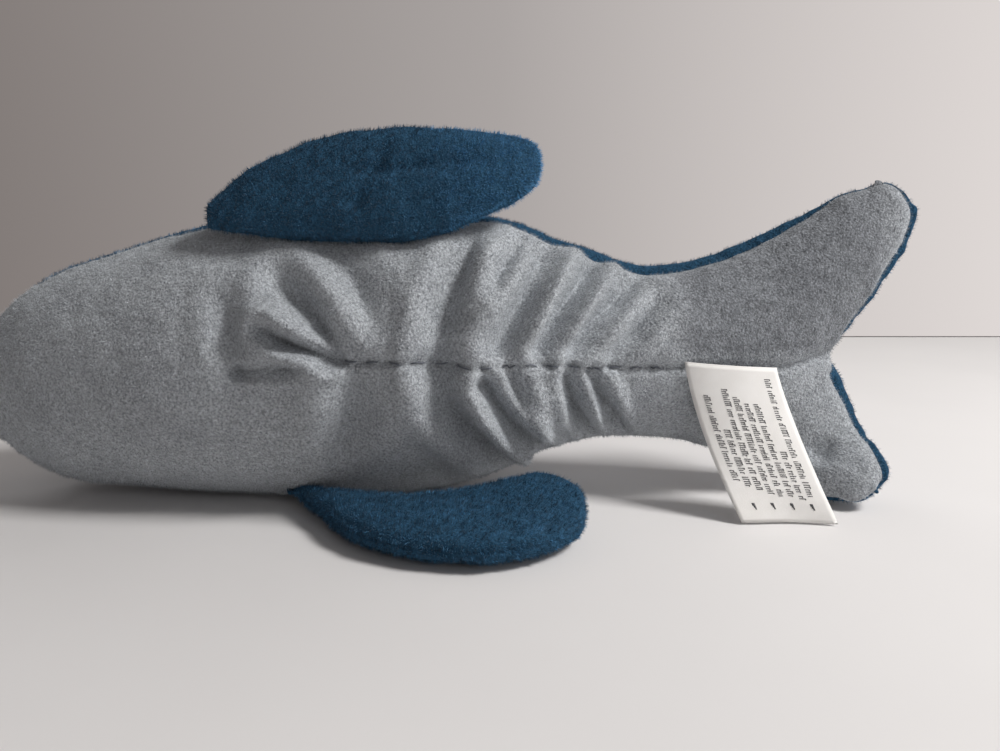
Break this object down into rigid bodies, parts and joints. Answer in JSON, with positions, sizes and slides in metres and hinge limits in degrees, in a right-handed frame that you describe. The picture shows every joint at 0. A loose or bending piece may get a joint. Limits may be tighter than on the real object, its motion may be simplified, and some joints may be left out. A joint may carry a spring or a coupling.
{
  "type": "plush shark",
  "caption": "Stuffed plush shark with blue back and fins, pale grey belly, horizontal tail flukes and a folded ribbon label, lying on its side.",
  "frame": {"origin": "middle of the base of the toy's box, on the surface that the toy lies on", "axes": "The toy lies on its right side. +X runs from snout to tail, +Z from the toy's right side up to its left side, -Y is the belly side and +Y is the back."},
  "size_m": [0.231, 0.1067, 0.0842],
  "materials": {
    "back_plush": "short steel-blue plush pile",
    "belly_plush": "short pale grey plush pile",
    "fibre_filling": "loose polyester fibre",
    "label_ribbon": "white satin ribbon with grey print",
    "sewing_thread": "twisted sewing thread",
    "eye": "polished black plastic",
    "eye_washer": "moulded plastic"
  },
  "bodies": {
    "body": {"belly_panel": "belly_plush", "back_panel_left": "back_plush", "back_panel_right": "back_plush", "body_filling": "fibre_filling", "left_eye": "eye", "right_eye": "eye", "left_eye_washer": "eye_washer", "right_eye_washer": "eye_washer", "mouth_thread": "sewing_thread", "closing_thread": "sewing_thread"},
    "tail": {"tail_belly_panel": "belly_plush", "tail_back_panel_left": "back_plush", "tail_back_panel_right": "back_plush", "tail_filling": "fibre_filling"},
    "left_pectoral_fin": {"left_fin_front_cloth": "back_plush", "left_fin_rear_cloth": "back_plush", "left_fin_filling": "fibre_filling"},
    "right_pectoral_fin": {"right_fin_top_cloth": "back_plush", "right_fin_floor_cloth": "back_plush", "right_fin_filling": "fibre_filling"},
    "dorsal_fin": {"dorsal_fin_left_cloth": "back_plush", "dorsal_fin_right_cloth": "back_plush", "dorsal_fin_filling": "fibre_filling"},
    "label": {"care_label": "label_ribbon"}
  },
  "joints": [
    {"name": "tail_bend", "type": "hinge", "parent": "body", "child": "tail", "pos_m": [0.0525, -0.00793, 0.03303], "axis": [0, 0, 1], "range_deg": [-30, 30], "stiffness_Nm_per_rad": 0.03},
    {"name": "left_fin_flap", "type": "hinge", "parent": "body", "child": "left_pectoral_fin", "pos_m": [-0.0265, -0.02305, 0.06261], "axis": [1, 0, 0], "range_deg": [-30, 90], "stiffness_Nm_per_rad": 0.012},
    {"name": "right_fin_flap", "type": "hinge", "parent": "body", "child": "right_pectoral_fin", "pos_m": [-0.0175, -0.02993, 0.0043], "axis": [1, 0, 0], "range_deg": [-55, 0], "stiffness_Nm_per_rad": 0.012},
    {"name": "dorsal_fin_flop", "type": "hinge", "parent": "body", "child": "dorsal_fin", "pos_m": [-0.0115, 0.02322, 0.03133], "axis": [1, 0, 0], "range_deg": [-30, 30], "stiffness_Nm_per_rad": 0.008},
    {"name": "label_flip", "type": "hinge", "parent": "tail", "child": "label", "pos_m": [0.071, -0.02252, 0.03213], "axis": [1, 0, 0], "range_deg": [-140, 0]}
  ]
}
